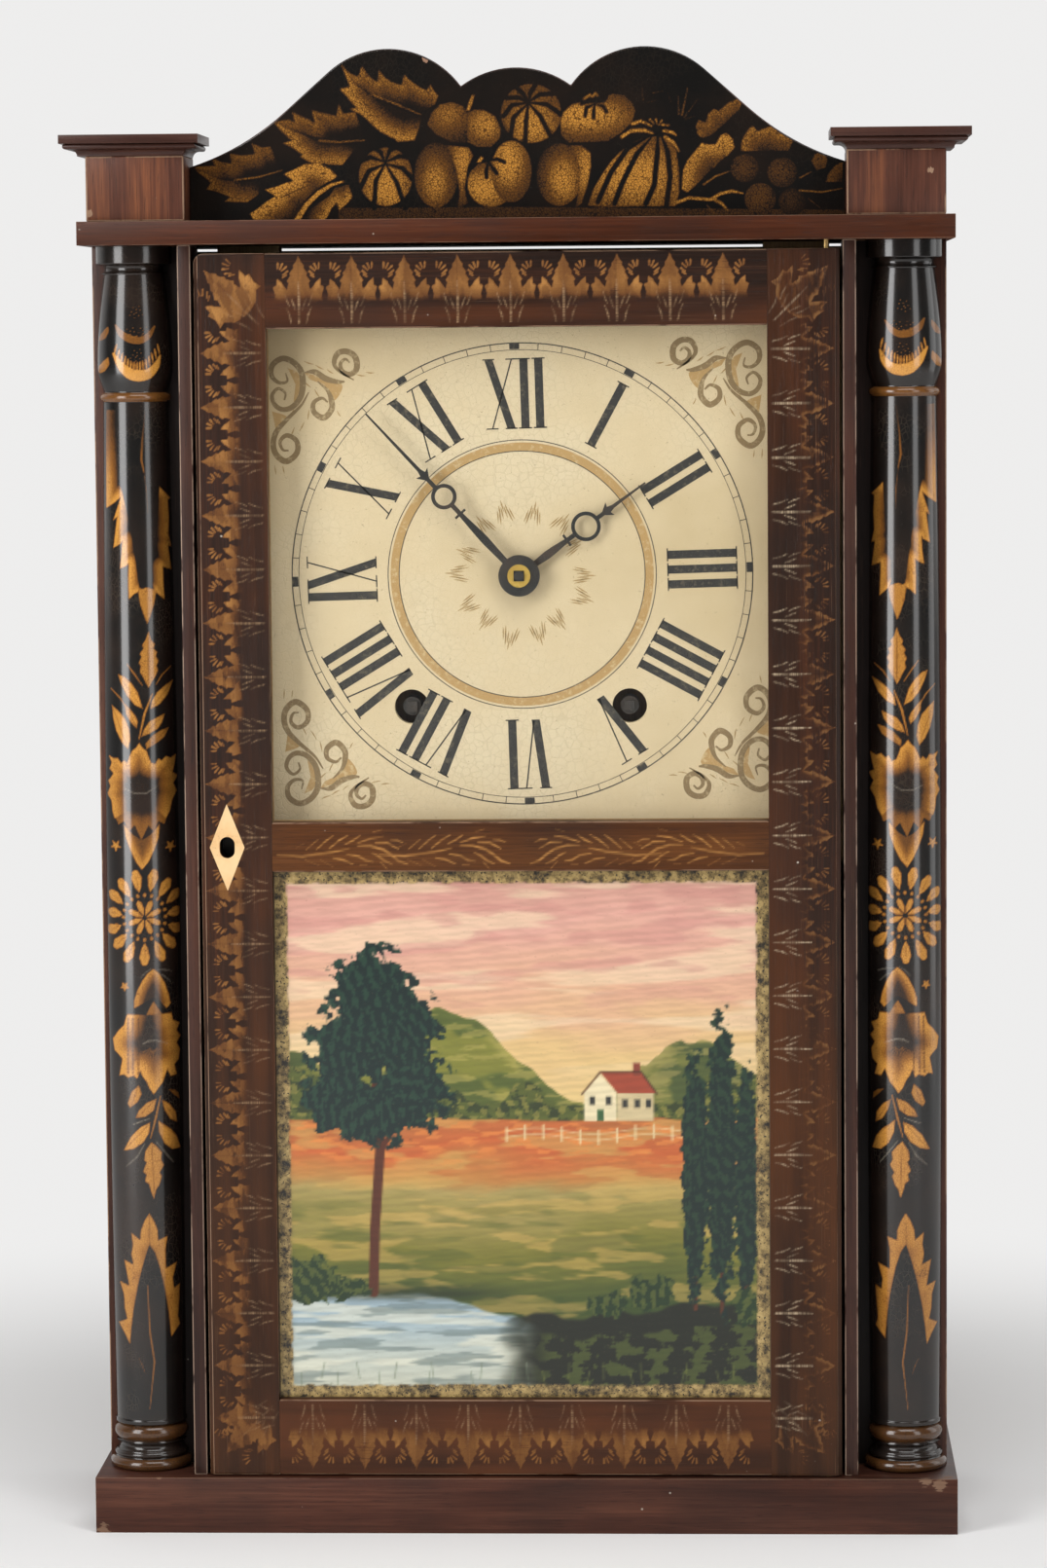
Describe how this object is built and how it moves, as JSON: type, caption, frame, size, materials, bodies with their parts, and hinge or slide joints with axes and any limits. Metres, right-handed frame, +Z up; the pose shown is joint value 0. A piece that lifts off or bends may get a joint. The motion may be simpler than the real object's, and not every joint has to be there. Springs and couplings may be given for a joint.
{
  "type": "shelf clock",
  "caption": "Weight-driven wooden-works shelf clock with half columns, corner blocks, scrolled splat, and a tall glazed door over a round dial and a painted tablet.",
  "frame": {"origin": "under the middle of the clock, on the base's lower face", "axes": "+X to the right as seen from the front, +Y to the back, +Z up; the door faces -Y"},
  "size_m": [0.436, 0.14, 0.7235],
  "materials": {
    "veneer": "aged gloss veneer",
    "dark_wood": "aged dark varnish",
    "black_paint": "black gloss paint on wood",
    "pine": "raw aged pine",
    "dial_paint": "aged cream paint on wood",
    "clear_glass": "clear window glass",
    "painted_glass": "reverse-painted glass",
    "ivory": "yellowed bone",
    "dark_steel": "blued steel",
    "bright_steel": "worn steel",
    "brass": "aged brass",
    "oak_plate": "raw aged oak",
    "cherry": "raw aged cherry wood",
    "iron": "rough cast iron",
    "cord": "twisted cotton cord"
  },
  "bodies": {
    "case": {"base_board": "dark_wood", "case_side_left": "veneer", "case_side_right": "veneer", "column_boards": "black_paint", "door_jambs": "dark_wood", "top_board": "veneer", "backboard": "pine", "case_blocks": "pine", "half_column_left": "black_paint", "half_column_right": "black_paint", "corner_block_left": "veneer", "corner_block_right": "veneer", "corner_cap_left": "veneer", "corner_cap_right": "veneer", "splat": "black_paint", "hinge_pins": "brass", "dial_board": "dial_paint", "dial_rails": "pine", "plate_front": "oak_plate", "plate_back": "oak_plate", "plate_pillars": "cherry", "suspension_post": "brass", "bell": "brass", "cord_runs": "cord"},
    "door": {"door_stile_left": "dark_wood", "door_stile_right": "dark_wood", "door_rail_top": "dark_wood", "door_rail_middle": "dark_wood", "door_rail_bottom": "dark_wood", "dial_glass": "clear_glass", "tablet_glass": "painted_glass", "glazing_strips": "pine", "escutcheon": "ivory", "door_lock": "dark_steel"},
    "lock_bolt": {"lock_bolt": "bright_steel"},
    "minute": {"center_wheel": "cherry", "minute_hand": "dark_steel"},
    "hour": {"hour_wheel": "cherry", "hour_hand": "dark_steel"},
    "second": {"time_second_wheel": "cherry"},
    "time_great": {"time_great_wheel": "cherry"},
    "time_drum": {"time_drum": "cherry"},
    "third": {"third_wheel": "cherry"},
    "escape": {"escape_wheel": "cherry"},
    "verge": {"verge": "brass"},
    "pendulum": {"pendulum": "brass"},
    "minute_wheel": {"minute_wheel": "cherry"},
    "strike_great": {"strike_great_wheel": "cherry"},
    "strike_drum": {"strike_drum": "cherry"},
    "pin_wheel": {"pin_wheel": "cherry"},
    "warning": {"warning_wheel": "cherry"},
    "fly": {"fly": "cherry"},
    "count_wheel": {"count_wheel": "cherry"},
    "hammer": {"hammer": "dark_steel"},
    "time_weight": {"time_weight": "iron", "time_cord_drop": "cord"},
    "strike_weight": {"strike_weight": "iron", "strike_cord_drop": "cord"},
    "time_pulley": {"time_pulley": "cherry"},
    "strike_pulley": {"strike_pulley": "cherry"}
  },
  "joints": [
    {"name": "door_hinge", "type": "hinge", "parent": "case", "child": "door", "pos_m": [0.149, -0.055, 0.33845], "axis": [0, 0, 1], "range_deg": [0, 115]},
    {"name": "lock_bolt_slide", "type": "slide", "parent": "door", "child": "lock_bolt", "axis": [-1, 0, 0], "range_m": [0, 0.005]},
    {"name": "third_spin", "type": "hinge", "parent": "case", "child": "third", "pos_m": [0.03017, 0, 0.50633], "axis": [0, 1, 0], "continuous": true},
    {"name": "minute_spin", "type": "hinge", "parent": "case", "child": "minute", "pos_m": [0, 0, 0.469], "axis": [0, 1, 0], "continuous": true},
    {"name": "second_spin", "type": "hinge", "parent": "case", "child": "second", "pos_m": [0.0491, 0, 0.46356], "axis": [0, 1, 0], "continuous": true},
    {"name": "time_great_spin", "type": "hinge", "parent": "case", "child": "time_great", "pos_m": [0.0532, 0, 0.4052], "axis": [0, 1, 0], "continuous": true},
    {"name": "escape_spin", "type": "hinge", "parent": "case", "child": "escape", "pos_m": [0, 0, 0.522], "axis": [0, 1, 0], "continuous": true},
    {"name": "minute_wheel_spin", "type": "hinge", "parent": "case", "child": "minute_wheel", "pos_m": [0.01697, 0, 0.48597], "axis": [0, 1, 0], "continuous": true},
    {"name": "hour_spin", "type": "hinge", "parent": "case", "child": "hour", "pos_m": [0, 0, 0.469], "axis": [0, 1, 0], "continuous": true},
    {"name": "pendulum_swing", "type": "hinge", "parent": "case", "child": "pendulum", "pos_m": [0, 0, 0.5456], "axis": [0, 1, 0], "range_deg": [-3.5, 3.5]},
    {"name": "verge_swing", "type": "hinge", "parent": "case", "child": "verge", "pos_m": [0, 0, 0.5456], "axis": [0, 1, 0], "range_deg": [-3.5, 3.5]},
    {"name": "warning_spin", "type": "hinge", "parent": "case", "child": "warning", "pos_m": [-0.05179, 0, 0.48684], "axis": [0, 1, 0], "continuous": true},
    {"name": "pin_wheel_spin", "type": "hinge", "parent": "case", "child": "pin_wheel", "pos_m": [-0.0453, 0, 0.45001], "axis": [0, 1, 0], "continuous": true},
    {"name": "strike_great_spin", "type": "hinge", "parent": "case", "child": "strike_great", "pos_m": [-0.0532, 0, 0.4052], "axis": [0, 1, 0], "continuous": true},
    {"name": "fly_spin", "type": "hinge", "parent": "case", "child": "fly", "pos_m": [-0.04382, 0, 0.51659], "axis": [0, 1, 0], "continuous": true},
    {"name": "count_wheel_spin", "type": "hinge", "parent": "case", "child": "count_wheel", "pos_m": [-0.02595, 0, 0.41649], "axis": [0, 1, 0], "continuous": true},
    {"name": "hammer_swing", "type": "hinge", "parent": "case", "child": "hammer", "pos_m": [-0.078, 0, 0.3702], "axis": [0, 1, 0], "range_deg": [0, 10]},
    {"name": "time_weight_slide", "type": "slide", "parent": "case", "child": "time_weight", "axis": [0, 0, 1], "range_m": [0, 0.38], "deforming": ["time_cord_drop"]},
    {"name": "strike_weight_slide", "type": "slide", "parent": "case", "child": "strike_weight", "axis": [0, 0, 1], "range_m": [0, 0.38], "deforming": ["strike_cord_drop"]},
    {"name": "time_drum_spin", "type": "hinge", "parent": "case", "child": "time_drum", "pos_m": [0.0532, 0, 0.4052], "axis": [0, 1, 0], "range_deg": [-1280, 0]},
    {"name": "strike_drum_spin", "type": "hinge", "parent": "case", "child": "strike_drum", "pos_m": [-0.0532, 0, 0.4052], "axis": [0, 1, 0], "range_deg": [0, 1280]},
    {"name": "time_pulley_spin", "type": "hinge", "parent": "case", "child": "time_pulley", "pos_m": [0.134, 0, 0.5899], "axis": [0, 1, 0], "range_deg": [-1440, 0]},
    {"name": "strike_pulley_spin", "type": "hinge", "parent": "case", "child": "strike_pulley", "pos_m": [-0.134, 0, 0.5899], "axis": [0, 1, 0], "range_deg": [0, 1440]}
  ],
  "couplings": [
    {"joint": "minute_spin", "follows": "third_spin", "ratio": -0.11111},
    {"joint": "second_spin", "follows": "third_spin", "ratio": 0.02963},
    {"joint": "time_great_spin", "follows": "third_spin", "ratio": -0.014815},
    {"joint": "escape_spin", "follows": "third_spin", "ratio": -7.5},
    {"joint": "minute_wheel_spin", "follows": "third_spin", "ratio": 0.037037},
    {"joint": "hour_spin", "follows": "third_spin", "ratio": -0.0092593},
    {"joint": "verge_swing", "follows": "pendulum_swing", "ratio": 1},
    {"joint": "pin_wheel_spin", "follows": "warning_spin", "ratio": -0.13333},
    {"joint": "strike_great_spin", "follows": "warning_spin", "ratio": 0.022222},
    {"joint": "fly_spin", "follows": "warning_spin", "ratio": -6},
    {"joint": "count_wheel_spin", "follows": "warning_spin", "ratio": 0.013675},
    {"joint": "time_drum_spin", "follows": "time_weight_slide", "rad_per_m": -57.803},
    {"joint": "time_pulley_spin", "follows": "time_weight_slide", "rad_per_m": -65.359},
    {"joint": "strike_drum_spin", "follows": "strike_weight_slide", "rad_per_m": 57.803},
    {"joint": "strike_pulley_spin", "follows": "strike_weight_slide", "rad_per_m": 65.359}
  ]
}
